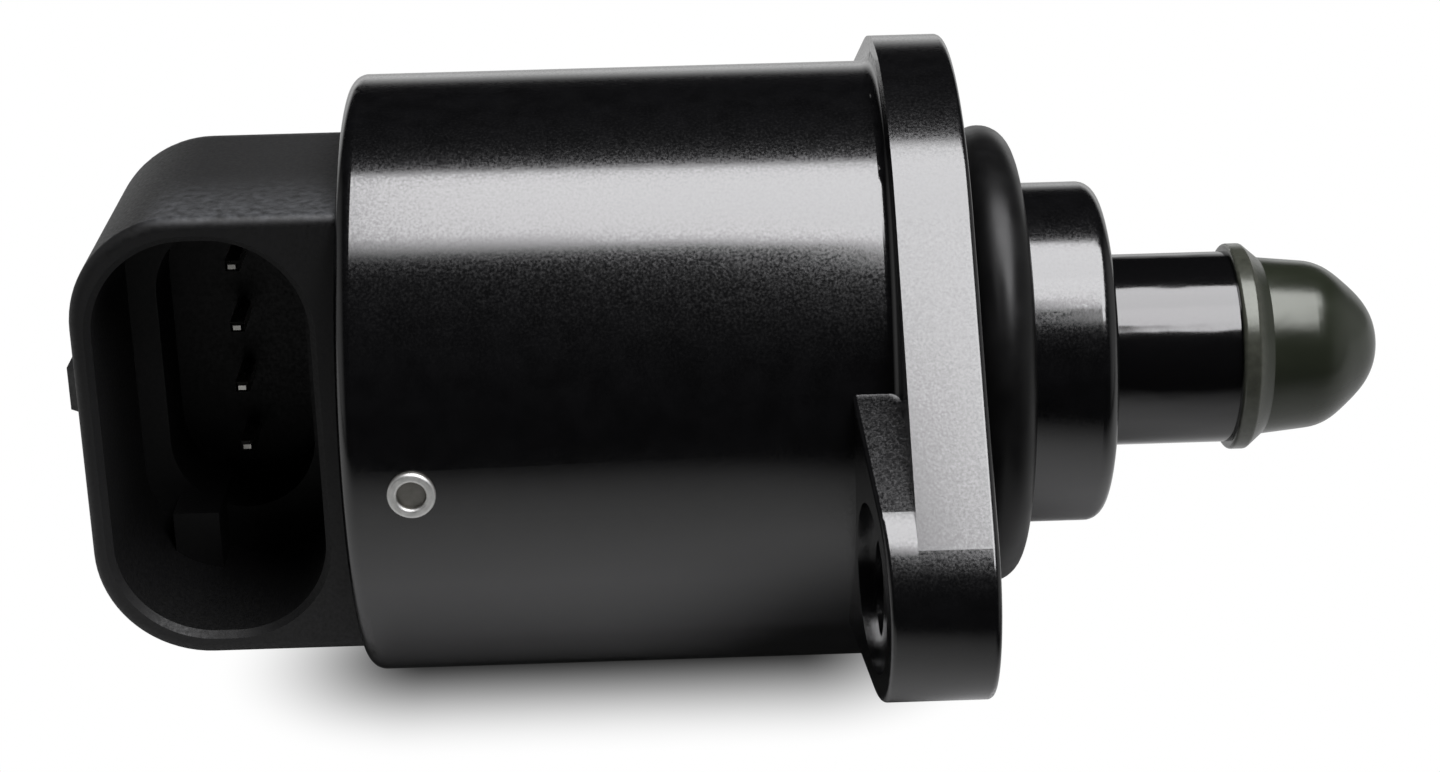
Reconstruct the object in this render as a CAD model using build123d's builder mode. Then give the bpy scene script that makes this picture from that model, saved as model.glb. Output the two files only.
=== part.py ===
from build123d import *
import math
import os

# Idle air control valve, in millimetres.
# The valve's axis is X, with the pintle's tip at +X. The connector's mouth faces -Y and Z is up.
# The origin is on the axis, in the flange's mounting face.

# Cast body with its flange and nose
body_radius = 19.3
body_length = 33.2
body_rear_round = 1.0
body_wall = 2.3
motor_seat_depth = 12.5
flange_thickness = 4.6
flange_lip = 1.6
flange_edge_round = 0.4
flange_root_round = 0.7
bolt_circle_lip = 5.7
bolt_hole_radius = 2.75
ear_radius = 6.6
ear_clock_angle = 11.5
ear_pad_height = 2.2
ear_pad_slope_angle = 5.0
ear_pad_flare_angle = 12.5
ear_pad_edge_round = 0.3
spot_face_radius = 5.0
spot_face_depth = 0.45
nose_radius = 11.1
nose_length = 9.85
nose_end_round = 1.1
nose_seal_section = 3.8
nose_seal_gap = 0.5

# Fits
running_clearance = 0.05
seal_clearance = 0.03
thrust_gap = 0.3
air_gap = 0.3

# Travel of the pintle from where it stands
travel_out = 1.0
travel_back = 7.0

# Pintle
stem_radius = 6.25
stem_insert = 9.0
stem_reach = 8.55
stem_edge_round = 0.4
collar_radius = 6.75
collar_width = 1.05
collar_edge_round = 0.25
neck_length = 1.1
dome_base_radius = 5.8
dome_taper_length = 2.95
dome_taper_radius = 5.5
dome_shoulder_length = 2.6
dome_shoulder_radius = 4.15
dome_tip_length = 2.2
cone_spigot_radius = 3.0
cone_spigot_length = 4.0
screw_radius = 2.5
screw_seat_depth = 11.0
screw_flat_half_width = 1.9
screw_flat_run_out = 0.4
screw_end_chamfer = 0.4
screw_end_room = 1.5

# Front ball bearing, and the plate that keeps the screw from turning
bearing_outer_radius = 8.0
bearing_width = 5.0
bearing_outer_wall = 1.2
bearing_inner_wall = 1.2
bearing_edge_round = 0.3
ball_radius = 1.15
ball_count = 7
ball_clearance = 0.05
cage_thickness = 0.9
cage_width = 3.4
plate_thickness = 1.0
plate_clearance = 0.08

# Rotor
journal_radius = 4.0
hub_radius = 4.2
rotor_collar_radius = 5.0
rotor_collar_width = 1.0
magnet_radius = 7.5
magnet_end_gap = 0.5
magnet_chamfer = 0.4
rear_bush_wall = 2.0
rear_bush_length = 3.5
bush_end_gap = 0.2

# Stator, two claw-pole units in line
stator_clearance = 0.05
pole_plate_thickness = 1.0
shell_thickness = 1.2
claw_thickness = 0.9
claw_count = 6
claw_tip_gap = 0.8
claw_root_half_width = 1.45
claw_tip_half_width = 0.7
bobbin_wall = 0.8
bobbin_clearance = 0.15
coil_clearance = 0.9
spring_height = 1.5
spring_thickness = 0.5
spring_width = 4.0
spring_clearance = 1.3

# Connector housing
plug_length = 8.8
plug_clearance = 0.1
plug_edge_chamfer = 0.4
cap_seal_section = 1.7
cap_seal_groove_width = 2.2
cap_seal_groove_lip = 0.5
mouth_reach = 11.4
mouth_half_width = 6.6
mouth_half_height = 12.95
mouth_corner_radius = 6.0
mouth_depth = 13.0
mouth_lead_in = 0.4
mouth_body_wall = 2.06
block_side_wall = 1.3
block_end_wall = 1.5
block_back_wall = 2.0
block_back_round = 3.4
block_corner_lip = 1.0
block_front_round = 0.7
pocket_half_width = 4.75
pocket_half_height = 10.0
pocket_depth = 5.6
key_width = 3.0
key_offset = 2.95
key_height = 4.05
key_length = 3.4
nib_height = 2.9
nib_proud = 2.5
nib_length = 4.0
nib_back = 0.6

# Terminals
terminal_count = 4
terminal_pitch = 4.25
terminal_width = 0.9
terminal_thickness = 0.7
terminal_tip_taper = 0.2
terminal_tip_drop = 1.7
terminal_leg_cover = 0.5
terminal_tail = 1.2

# Retaining pins
retaining_pin_radius = 1.45
retaining_pin_count = 2
retaining_pin_clock = -178.9
retaining_pin_inset = 4.25
retaining_pin_bite = 3.7
retaining_pin_proud = 0.4
retaining_pin_recess_radius = 0.87
retaining_pin_recess_depth = 0.35
retaining_pin_edge_round = 0.2

# Places along the axis that several pieces share
flange_back = -flange_thickness
pad_back = flange_back - ear_pad_height
spot_face_seat = pad_back + spot_face_depth
body_rear = flange_back - body_length
motor_seat = -motor_seat_depth
bearing_front = motor_seat + bearing_width
bearing_middle = (motor_seat + bearing_front) / 2
plate_front = bearing_front + plate_thickness
plug_front = body_rear + plug_length
stator_rear = plug_front + spring_height
rear_unit_front = (motor_seat + stator_rear) / 2
unit_length = motor_seat - rear_unit_front
claw_length = unit_length - pole_plate_thickness - claw_tip_gap
bush_rear = plug_front - rear_bush_length
magnet_front = motor_seat - rotor_collar_width
magnet_rear = stator_rear + magnet_end_gap
rotor_front = bearing_front - thrust_gap
rotor_rear = bush_rear + bush_end_gap
stem_inner_end = nose_length - stem_insert
stem_front = nose_length + stem_reach
screw_front = stem_inner_end + screw_seat_depth
screw_rear = magnet_rear - travel_out
retaining_pin_x = body_rear + retaining_pin_inset
cap_seal_x = plug_front - cap_seal_groove_lip - cap_seal_groove_width / 2

# Radii that several pieces share
bore_radius = body_radius - body_wall
flange_radius = body_radius + flange_lip
bolt_circle_radius = body_radius + bolt_circle_lip
stem_bore_radius = stem_radius + running_clearance
nut_bore_radius = screw_radius + running_clearance
bush_bore_radius = journal_radius + running_clearance
bush_radius = journal_radius + rear_bush_wall
claw_inner_radius = magnet_radius + air_gap
claw_outer_radius = claw_inner_radius + claw_thickness
stator_radius = bore_radius - stator_clearance
shell_inner_radius = stator_radius - shell_thickness
coil_radius = shell_inner_radius - coil_clearance
spring_outer_radius = bore_radius - spring_clearance
spring_inner_radius = spring_outer_radius - spring_width
plug_radius = bore_radius - plug_clearance
cap_seal_groove_radius = plug_radius - cap_seal_section
bearing_outer_land = bearing_outer_radius - bearing_outer_wall
bearing_inner_land = journal_radius + bearing_inner_wall
ball_pitch_radius = (bearing_outer_land + bearing_inner_land) / 2
groove_radius = ball_radius + ball_clearance
retaining_pin_inner = plug_radius - retaining_pin_bite

# Places in the connector
mouth_centre = body_rear - mouth_body_wall - mouth_half_width
block_left = mouth_centre - mouth_half_width - block_side_wall
block_half_height = mouth_half_height + block_end_wall
block_corner_radius = mouth_corner_radius + block_corner_lip
shoulder_y = mouth_depth - mouth_reach
floor_y = shoulder_y + pocket_depth
block_back = floor_y + block_back_wall
terminal_tip_y = shoulder_y + terminal_tip_drop
terminal_leg_y = floor_y + terminal_leg_cover

os.makedirs("parts", exist_ok=True)


def save(piece, name):
    """Label a finished piece and write it under its own name."""
    piece.part.label = name
    export_step(piece.part, f"parts/{name}.step")


def ring(front, rear, outer_radius, inner_radius):
    """Draw one half section of a plain ring about X, in the sketch that is open."""
    with Locations((rear, inner_radius)):
        Rectangle(front - rear, outer_radius - inner_radius, align=(Align.MIN, Align.MIN))


def seal_ring(name, middle, inner_radius, section):
    """A rubber ring of round section about X."""
    with BuildPart() as seal:
        with BuildSketch(Plane.XY):
            with Locations((middle, inner_radius + section / 2)):
                Circle(section / 2)
        revolve(axis=Axis.X)
    save(seal, name)


# Directions of the retaining pins, each plane looking out along its pin
pin_planes = []
for index in range(retaining_pin_count):
    pin_angle = math.radians(retaining_pin_clock + index * 360 / retaining_pin_count)
    pin_planes.append(
        Plane(
            origin=(retaining_pin_x, 0, 0),
            x_dir=(1, 0, 0),
            z_dir=(0, math.cos(pin_angle), math.sin(pin_angle)),
        )
    )

# Flange plate: a round middle and two ears, joined by tangent flanks
flank_angle = math.asin((flange_radius - ear_radius) / bolt_circle_radius)
flank_normal = (math.sin(flank_angle), math.cos(flank_angle))
ear_tangent = (
    bolt_circle_radius + ear_radius * flank_normal[0],
    ear_radius * flank_normal[1],
)
middle_tangent = (flange_radius * flank_normal[0], flange_radius * flank_normal[1])

with BuildPart() as flange_plate:
    with BuildSketch(Plane.YZ.offset(flange_back)):
        Circle(flange_radius)
        with PolarLocations(bolt_circle_radius, 2, start_angle=ear_clock_angle):
            Circle(ear_radius)
        Polygon(
            (ear_tangent[0], -ear_tangent[1]),
            ear_tangent,
            middle_tangent,
            (-middle_tangent[0], middle_tangent[1]),
            (-ear_tangent[0], ear_tangent[1]),
            (-ear_tangent[0], -ear_tangent[1]),
            (-middle_tangent[0], -middle_tangent[1]),
            (middle_tangent[0], -middle_tangent[1]),
            rotation=ear_clock_angle,
        )
    extrude(amount=flange_thickness)
    front_face = flange_plate.faces().sort_by(Axis.X)[-1]
    fillet(front_face.outer_wire().edges(), radius=flange_edge_round)

# Raised pad on the back of an ear, wider and higher towards the body that it runs in to
pad_slope = math.radians(ear_pad_slope_angle)
pad_root_height = ear_pad_height + bolt_circle_radius * math.tan(pad_slope)
pad_flare = math.radians(ear_pad_flare_angle)
pad_tangent = (
    bolt_circle_radius + ear_radius * math.sin(pad_flare),
    ear_radius * math.cos(pad_flare),
)
pad_root_half_width = pad_tangent[1] + pad_tangent[0] * math.tan(pad_flare)
pad_plane = Plane(
    origin=(pad_back, bolt_circle_radius, 0),
    x_dir=(0, 0, 1),
    z_dir=(-math.cos(pad_slope), math.sin(pad_slope), 0),
)
ear_turns = [Location((0, 0, 0), (ear_clock_angle + turn, 0, 0)) for turn in (0, 180)]

with BuildPart() as ear_pad:
    with BuildSketch(Plane.YZ.offset(flange_back)):
        with Locations((bolt_circle_radius, 0)):
            Circle(ear_radius)
        Polygon(
            (0, -pad_root_half_width),
            (pad_tangent[0], -pad_tangent[1]),
            pad_tangent,
            (0, pad_root_half_width),
        )
    extrude(amount=-pad_root_height)
    split(bisect_by=pad_plane, keep=Keep.BOTTOM)
    pad_face = ear_pad.faces().sort_by(Axis.X)[0]
    fillet(pad_face.outer_wire().edges(), radius=ear_pad_edge_round)

# Body, flange and nose, one casting
with BuildPart() as body_housing:
    with BuildSketch(Plane.XY):
        ring(0, body_rear, body_radius, 0)
        ring(nose_length, 0, nose_radius, 0)
        rear_corner = vertices().group_by(Axis.X)[0].sort_by(Axis.Y)[-1]
        fillet(rear_corner, radius=body_rear_round)
        nose_corner = vertices().group_by(Axis.X)[-1].sort_by(Axis.Y)[-1]
        fillet(nose_corner, radius=nose_end_round)
    revolve(axis=Axis.X)
    add(flange_plate.part)
    arcs = body_housing.edges().filter_by(GeomType.CIRCLE)
    flange_back_arcs = arcs.filter_by_position(
        Axis.X,
        flange_back - flange_root_round,
        flange_back + flange_root_round,
    )
    root_circle = flange_back_arcs.group_by(SortBy.RADIUS)[-2]
    fillet(root_circle, radius=flange_root_round)
    with Locations(*ear_turns):
        add(ear_pad.part)
    with BuildSketch(Plane.YZ):
        with PolarLocations(bolt_circle_radius, 2, start_angle=ear_clock_angle):
            Circle(bolt_hole_radius)
    extrude(amount=pad_back, mode=Mode.SUBTRACT)
    with BuildSketch(Plane.YZ.offset(spot_face_seat)):
        with PolarLocations(bolt_circle_radius, 2, start_angle=ear_clock_angle):
            Circle(spot_face_radius)
    extrude(amount=-ear_pad_height, mode=Mode.SUBTRACT)
    with BuildSketch(Plane.XY):
        ring(motor_seat, body_rear, bore_radius, 0)
        ring(plate_front, motor_seat, bearing_outer_radius, 0)
        ring(nose_length, plate_front, stem_bore_radius, 0)
    revolve(axis=Axis.X, mode=Mode.SUBTRACT)
    with BuildSketch(*pin_planes):
        Circle(retaining_pin_radius)
    extrude(amount=body_radius + retaining_pin_proud, mode=Mode.SUBTRACT)
save(body_housing, "body_housing")

# Seal round the nose, just clear of the mounting face
seal_ring(
    "nose_seal",
    nose_seal_gap + nose_seal_section / 2,
    nose_radius + seal_clearance,
    nose_seal_section,
)

# One retaining pin, standing along Z with a hollow outer end
pin_top = body_radius + retaining_pin_proud
with BuildPart() as retaining_pin:
    with BuildSketch(Plane.XY.offset(retaining_pin_inner)):
        Circle(retaining_pin_radius)
    extrude(amount=pin_top - retaining_pin_inner)
    with BuildSketch(Plane.XY.offset(pin_top)):
        Circle(retaining_pin_recess_radius)
    extrude(amount=-retaining_pin_recess_depth, mode=Mode.SUBTRACT)
    fillet(
        retaining_pin.edges().group_by(Axis.Z)[-1],
        radius=retaining_pin_edge_round,
    )

with BuildPart() as retaining_pins:
    with Locations(*pin_planes):
        add(retaining_pin.part)
save(retaining_pins, "retaining_pins")

# Terminals: a blade in the socket, and a leg that runs through the plug to the motor
terminal_parts = []
leg_rear = mouth_centre - terminal_width / 2
leg_front = plug_front + terminal_tail
for index in range(terminal_count):
    terminal_z = (index - (terminal_count - 1) / 2) * terminal_pitch
    with BuildPart() as terminal:
        with BuildSketch(Plane.XZ.offset(-terminal_leg_y)):
            with Locations((mouth_centre, terminal_z)):
                Rectangle(terminal_width, terminal_thickness)
        extrude(amount=terminal_leg_y - terminal_tip_y)
        chamfer(terminal.faces().sort_by(Axis.Y)[0].edges(), length=terminal_tip_taper)
        with BuildSketch(Plane.XZ.offset(-terminal_leg_y)):
            with Locations((leg_rear, terminal_z)):
                Rectangle(
                    leg_front - leg_rear,
                    terminal_thickness,
                    align=(Align.MIN, Align.CENTER),
                )
        extrude(amount=-terminal_thickness)
    save(terminal, f"terminal_pin_{index + 1}")
    terminal_parts.append(terminal.part)

# Connector housing: the block with its socket, and the plug that closes the body
with BuildPart() as connector_housing:
    with BuildSketch(Plane.XZ.offset(mouth_reach)):
        with Locations((block_left, 0)):
            Rectangle(
                body_rear - block_left,
                2 * block_half_height,
                align=(Align.MIN, Align.CENTER),
            )
        fillet(vertices().group_by(Axis.X)[0], radius=block_corner_radius)
    extrude(amount=-(mouth_reach + block_back))
    block_back_edges = connector_housing.faces().sort_by(Axis.Y)[-1].edges()
    fillet(block_back_edges.sort_by(Axis.X)[:-1], radius=block_back_round)
    block_front_edges = connector_housing.faces().sort_by(Axis.Y)[0].edges()
    fillet(block_front_edges.sort_by(Axis.X)[:-1], radius=block_front_round)
    # Latch nib on the outer wall, with its ramp towards the mouth
    with BuildSketch(Plane.XY.offset(-nib_height / 2)):
        Polygon(
            (block_left, nib_back),
            (block_left - nib_proud, nib_back),
            (block_left - nib_proud, nib_back - nib_length / 2),
            (block_left, nib_back - nib_length),
        )
    extrude(amount=nib_height)
    # Plug with the groove for its seal
    with BuildSketch(Plane.XY):
        ring(plug_front, body_rear, plug_radius, 0)
        chamfer(
            vertices().group_by(Axis.X)[-1].sort_by(Axis.Y)[-1],
            length=plug_edge_chamfer,
        )
    revolve(axis=Axis.X)
    with BuildSketch(Plane.XY):
        with Locations((cap_seal_x, cap_seal_groove_radius)):
            Rectangle(cap_seal_groove_width, plug_radius, align=(Align.CENTER, Align.MIN))
    revolve(axis=Axis.X, mode=Mode.SUBTRACT)
    # Seat of the rear bush, and room for the screw's end
    with BuildSketch(Plane.XY):
        ring(plug_front, bush_rear, bush_radius, 0)
        ring(bush_rear, screw_rear - travel_back - screw_end_room, screw_radius + air_gap, 0)
    revolve(axis=Axis.X, mode=Mode.SUBTRACT)
    # Socket: a wide mouth with a lead-in, then a narrower pocket round the terminals
    with BuildSketch(Plane.XZ.offset(mouth_reach)):
        with Locations((mouth_centre, 0)):
            RectangleRounded(2 * mouth_half_width, 2 * mouth_half_height, mouth_corner_radius)
    extrude(amount=-mouth_depth, mode=Mode.SUBTRACT)
    mouth_face = connector_housing.faces().filter_by(Axis.Y).sort_by(Axis.Y)[0]
    chamfer(mouth_face.inner_wires()[0].edges(), length=mouth_lead_in)
    with BuildSketch(Plane.XZ.offset(-shoulder_y)):
        with Locations((mouth_centre, 0)):
            SlotOverall(2 * pocket_half_height, 2 * pocket_half_width, rotation=90)
    extrude(amount=-pocket_depth, mode=Mode.SUBTRACT)
    # Key at the lower end of the mouth, standing from the pocket's floor past the shoulder
    with BuildSketch(Plane.XZ.offset(-floor_y)):
        with Locations((mouth_centre - key_offset, -mouth_half_height)):
            Rectangle(key_width, key_height, align=(Align.CENTER, Align.MIN))
    extrude(amount=pocket_depth + key_length)
    for terminal_part in terminal_parts:
        add(terminal_part, mode=Mode.SUBTRACT)
    add(retaining_pins.part, mode=Mode.SUBTRACT)
save(connector_housing, "connector_housing")

# Seal in the plug's groove
seal_ring(
    "cap_seal",
    cap_seal_x,
    cap_seal_groove_radius + seal_clearance,
    cap_seal_section,
)

# Stator: one claw points along X from its plate, and is cut from a tube
with BuildPart() as claw:
    with BuildSketch(Plane.XY):
        Polygon(
            (0, -claw_root_half_width),
            (claw_length, -claw_tip_half_width),
            (claw_length, claw_tip_half_width),
            (0, claw_root_half_width),
        )
    extrude(amount=claw_outer_radius)
    with BuildSketch(Plane.YZ):
        Circle(claw_outer_radius)
        Circle(claw_inner_radius, mode=Mode.SUBTRACT)
    extrude(amount=claw_length, mode=Mode.INTERSECT)


def claw_places(plate_face, pointing, first_angle):
    """Where the claws of one pole stand round its plate."""
    turn = 0 if pointing > 0 else 180
    step = 360 / claw_count
    return [
        Location((plate_face, 0, 0), (first_angle + index * step, 0, turn))
        for index in range(claw_count)
    ]


def outer_pole(name, plate_face, pointing, first_angle):
    """A cup of sheet iron: end plate, claws and the shell round the coil."""
    with BuildPart() as pole:
        with BuildSketch(Plane.YZ.offset(plate_face)):
            Circle(stator_radius)
            Circle(claw_inner_radius, mode=Mode.SUBTRACT)
        extrude(amount=pointing * pole_plate_thickness)
        with BuildSketch(Plane.YZ.offset(plate_face)):
            Circle(stator_radius)
            Circle(shell_inner_radius, mode=Mode.SUBTRACT)
        extrude(amount=pointing * unit_length)
        with Locations(*claw_places(plate_face, pointing, first_angle)):
            add(claw.part)
    save(pole, name)


def inner_pole(name, plate_face, pointing, first_angle):
    """The plate with claws that closes a cup."""
    with BuildPart() as pole:
        with BuildSketch(Plane.YZ.offset(plate_face)):
            Circle(shell_inner_radius)
            Circle(claw_inner_radius, mode=Mode.SUBTRACT)
        extrude(amount=pointing * pole_plate_thickness)
        with Locations(*claw_places(plate_face, pointing, first_angle)):
            add(claw.part)
    save(pole, name)


bobbin_inner_radius = claw_outer_radius + bobbin_clearance
bobbin_tube_radius = bobbin_inner_radius + bobbin_wall
bobbin_flange_radius = shell_inner_radius - bobbin_clearance


def bobbin_and_coil(unit_name, unit_front):
    """The spool between a unit's plates, and its winding."""
    front = unit_front - pole_plate_thickness
    rear = unit_front - unit_length + pole_plate_thickness
    with BuildPart() as bobbin:
        with BuildSketch(Plane.XY):
            ring(front, rear, bobbin_tube_radius, bobbin_inner_radius)
            ring(front, front - bobbin_wall, bobbin_flange_radius, bobbin_inner_radius)
            ring(rear + bobbin_wall, rear, bobbin_flange_radius, bobbin_inner_radius)
        revolve(axis=Axis.X)
    save(bobbin, f"{unit_name}_bobbin")
    with BuildPart() as coil:
        with BuildSketch(Plane.XY):
            ring(
                front - bobbin_wall,
                rear + bobbin_wall,
                coil_radius,
                bobbin_tube_radius,
            )
        revolve(axis=Axis.X)
    save(coil, f"{unit_name}_coil")


half_step = 180 / claw_count
outer_pole("front_outer_pole", motor_seat, -1, 0)
inner_pole("front_inner_pole", rear_unit_front, 1, half_step)
bobbin_and_coil("front", motor_seat)
inner_pole("rear_inner_pole", rear_unit_front, -1, half_step / 2)
outer_pole("rear_outer_pole", stator_rear, 1, half_step * 3 / 2)
bobbin_and_coil("rear", rear_unit_front)

# Disc spring that holds the stator against its seat
with BuildPart() as spring_washer:
    with BuildSketch(Plane.XY):
        Polygon(
            (stator_rear, spring_inner_radius),
            (stator_rear - spring_thickness, spring_inner_radius),
            (plug_front, spring_outer_radius),
            (plug_front + spring_thickness, spring_outer_radius),
        )
    revolve(axis=Axis.X)
save(spring_washer, "spring_washer")

# Front bearing
with BuildPart() as bearing_outer_race:
    with BuildSketch(Plane.XY):
        ring(bearing_front, motor_seat, bearing_outer_radius, bearing_outer_land)
        fillet(vertices().group_by(Axis.Y)[-1], radius=bearing_edge_round)
        with Locations((bearing_middle, ball_pitch_radius)):
            Circle(groove_radius, mode=Mode.SUBTRACT)
    revolve(axis=Axis.X)
save(bearing_outer_race, "bearing_outer_race")

with BuildPart() as bearing_inner_race:
    with BuildSketch(Plane.XY):
        ring(rotor_front, motor_seat, bearing_inner_land, journal_radius)
        with Locations((bearing_middle, ball_pitch_radius)):
            Circle(groove_radius, mode=Mode.SUBTRACT)
    revolve(axis=Axis.X)
save(bearing_inner_race, "bearing_inner_race")

with BuildPart(Plane.YZ.offset(bearing_middle)) as bearing_balls:
    with PolarLocations(ball_pitch_radius, ball_count):
        Sphere(ball_radius)
save(bearing_balls, "bearing_balls")

with BuildPart(Plane.YZ.offset(bearing_middle)) as bearing_cage:
    Cylinder(ball_pitch_radius + cage_thickness / 2, cage_width)
    Cylinder(ball_pitch_radius - cage_thickness / 2, cage_width, mode=Mode.SUBTRACT)
    with PolarLocations(ball_pitch_radius, ball_count):
        Cylinder(groove_radius, ball_radius * 2, rotation=(0, 90, 0), mode=Mode.SUBTRACT)
save(bearing_cage, "bearing_cage")

# Plate with a hole for the screw's two flats
with BuildPart() as anti_rotation_plate:
    with BuildSketch(Plane.YZ.offset(bearing_front)):
        Circle(bearing_outer_radius)
        with BuildSketch(Plane.YZ.offset(bearing_front), mode=Mode.SUBTRACT):
            Circle(screw_radius + plate_clearance)
            Rectangle(
                2 * (screw_radius + plate_clearance),
                2 * (screw_flat_half_width + plate_clearance),
                mode=Mode.INTERSECT,
            )
    extrude(amount=plate_thickness)
save(anti_rotation_plate, "anti_rotation_plate")

# Rotor: the nut is its shaft, and carries the magnet
with BuildPart() as rotor_nut:
    with BuildSketch(Plane.XY):
        ring(rotor_front, rotor_rear, journal_radius, nut_bore_radius)
        ring(magnet_front, magnet_rear, hub_radius, nut_bore_radius)
        ring(motor_seat, magnet_front, rotor_collar_radius, nut_bore_radius)
    revolve(axis=Axis.X)
save(rotor_nut, "rotor_nut")

with BuildPart() as rotor_magnet:
    with BuildSketch(Plane.XY):
        ring(magnet_front, magnet_rear, magnet_radius, hub_radius)
        chamfer(vertices().group_by(Axis.Y)[-1], length=magnet_chamfer)
    revolve(axis=Axis.X)
save(rotor_magnet, "rotor_magnet")

with BuildPart() as rear_bush:
    with BuildSketch(Plane.XY):
        ring(plug_front, bush_rear, bush_radius, bush_bore_radius)
    revolve(axis=Axis.X)
save(rear_bush, "rear_bush")

# Pintle: screw, stem and cone slide together
flat_rear = bearing_front - travel_out - screw_flat_run_out
flat_front = plate_front + travel_back + screw_flat_run_out
with BuildPart() as lead_screw:
    with BuildSketch(Plane.XY):
        ring(screw_front, screw_rear, screw_radius, 0)
        chamfer(vertices().group_by(Axis.Y)[-1], length=screw_end_chamfer)
    revolve(axis=Axis.X)
    with BuildSketch(Plane.YZ.offset(flat_rear)):
        Rectangle(4 * screw_radius, 4 * screw_radius)
        Rectangle(4 * screw_radius, 2 * screw_flat_half_width, mode=Mode.SUBTRACT)
    extrude(amount=flat_front - flat_rear, mode=Mode.SUBTRACT)
save(lead_screw, "lead_screw")

with BuildPart() as pintle_stem:
    with BuildSketch(Plane.XY):
        ring(stem_front, stem_inner_end, stem_radius, 0)
        fillet(vertices().group_by(Axis.Y)[-1].sort_by(Axis.X)[0], radius=stem_edge_round)
    revolve(axis=Axis.X)
    with BuildSketch(Plane.XY):
        ring(screw_front, stem_inner_end, screw_radius, 0)
        ring(stem_front, stem_front - cone_spigot_length, cone_spigot_radius, 0)
    revolve(axis=Axis.X, mode=Mode.SUBTRACT)
save(pintle_stem, "pintle_stem")

neck_end = stem_front + collar_width + neck_length
taper_end = neck_end + dome_taper_length
shoulder_end = taper_end + dome_shoulder_length
tip_x = shoulder_end + dome_tip_length
with BuildPart() as pintle_cone:
    with BuildSketch(Plane.XY):
        with BuildLine():
            Polyline(
                (stem_front - cone_spigot_length, 0),
                (stem_front - cone_spigot_length, cone_spigot_radius),
                (stem_front, cone_spigot_radius),
                (stem_front, collar_radius),
                (stem_front + collar_width, collar_radius),
                (neck_end, dome_base_radius),
                (taper_end, dome_taper_radius),
            )
            Spline(
                (taper_end, dome_taper_radius),
                (shoulder_end, dome_shoulder_radius),
                (tip_x, 0),
                tangents=(
                    (dome_taper_length, dome_taper_radius - dome_base_radius),
                    (0, -1),
                ),
            )
            Line((tip_x, 0), (stem_front - cone_spigot_length, 0))
        make_face()
        fillet(vertices().group_by(Axis.Y)[-1], radius=collar_edge_round)
    revolve(axis=Axis.X)
save(pintle_cone, "pintle_cone")
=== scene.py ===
import itertools
import math

import bmesh
import bpy
from mathutils import Matrix, Quaternion, Vector


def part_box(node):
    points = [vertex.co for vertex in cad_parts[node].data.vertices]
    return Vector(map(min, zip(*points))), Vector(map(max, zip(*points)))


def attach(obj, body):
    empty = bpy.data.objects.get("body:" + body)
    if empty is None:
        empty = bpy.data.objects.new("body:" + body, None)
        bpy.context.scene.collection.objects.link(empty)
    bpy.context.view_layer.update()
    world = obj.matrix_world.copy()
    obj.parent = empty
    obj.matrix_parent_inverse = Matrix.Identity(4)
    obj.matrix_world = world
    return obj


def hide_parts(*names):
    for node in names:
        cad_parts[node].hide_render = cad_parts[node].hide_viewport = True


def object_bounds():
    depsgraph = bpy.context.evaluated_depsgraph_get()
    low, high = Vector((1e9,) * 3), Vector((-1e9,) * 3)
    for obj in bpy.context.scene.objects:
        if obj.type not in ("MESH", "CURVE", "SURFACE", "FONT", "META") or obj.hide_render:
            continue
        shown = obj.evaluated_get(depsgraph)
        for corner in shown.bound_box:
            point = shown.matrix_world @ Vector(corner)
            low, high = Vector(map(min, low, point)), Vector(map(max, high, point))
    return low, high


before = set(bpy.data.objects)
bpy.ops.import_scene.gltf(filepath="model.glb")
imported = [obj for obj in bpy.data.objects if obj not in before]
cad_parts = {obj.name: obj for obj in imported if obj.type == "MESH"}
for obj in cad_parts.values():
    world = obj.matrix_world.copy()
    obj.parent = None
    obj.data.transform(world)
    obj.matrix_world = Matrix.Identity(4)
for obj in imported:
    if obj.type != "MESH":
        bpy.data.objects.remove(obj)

bl_info = {
    "name": "Idle air control valve",
    "version": (1, 0, 0),
    "blender": (4, 5, 0),
    "location": "View3D > Sidebar > Valve",
    "description": "Finishes, wound and turned pieces, and a stage for the valve's packed frame",
    "category": "Object",
}

CAD_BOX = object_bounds()
TERMINAL_NODES = ["terminal_pin_1", "terminal_pin_2", "terminal_pin_3", "terminal_pin_4"]

# Lengths are in metres.

# The middle of a noise's range, which the finishes use
NOISE_LOW = 0.3
NOISE_HIGH = 0.7

# Cast body: the stretch at its rear that gives the barrel's radius, the size of the coating's peel
# against its grain, how far the grain changes the roughness, and where the flange's rim begins over
# the barrel and is at its full roughness
BARREL_END = 0.005
PEEL_FACTOR = 9
GRAIN_SMOOTHER = 0.05
GRAIN_ROUGHER = 0.07
RIM_BEGIN = 0.0004
RIM_FULL = 0.0012

# Connector: how far its painted sheen reaches back from the mouth and down from the top
SHEEN_REACH = 0.010
SHEEN_DROP = 0.0005

# Cone: the tint of its sheen, and the width of the painted highlight on the collar's rim
CONE_SHEEN = (0.97, 1.0, 0.92)
COLLAR_HIGHLIGHT_WIDTH = 0.0006

# Metals: the depth of their marks, and the retaining pins' bright rim and painted shade in the hollow,
# with
#  the depths below a pin's end under which it is all painted shade and over which it is all bright
MARK_DEPTH = 0.000004
PIN_BRIGHT = (0.82, 0.82, 0.80)
PIN_HOLLOW_SHADE = (0.22, 0.215, 0.195)
PIN_HOLLOW_SHADE_LIGHT = (0.30, 0.29, 0.27)
PIN_HOLLOW_DEPTH = 0.0003
PIN_RIM_DEPTH = 0.0001

# Turned and wound pieces: the angle of a sharp edge, the steps round each, and the radius of the thread's
# rib as a share of its pitch
SHARP_ANGLE = math.radians(25)
COIL_STEPS = 72
SCREW_STEPS = 64
HELIX_STEPS = 60
WIRE_STEPS = 8
RIB_SHARE = 0.3

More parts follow.
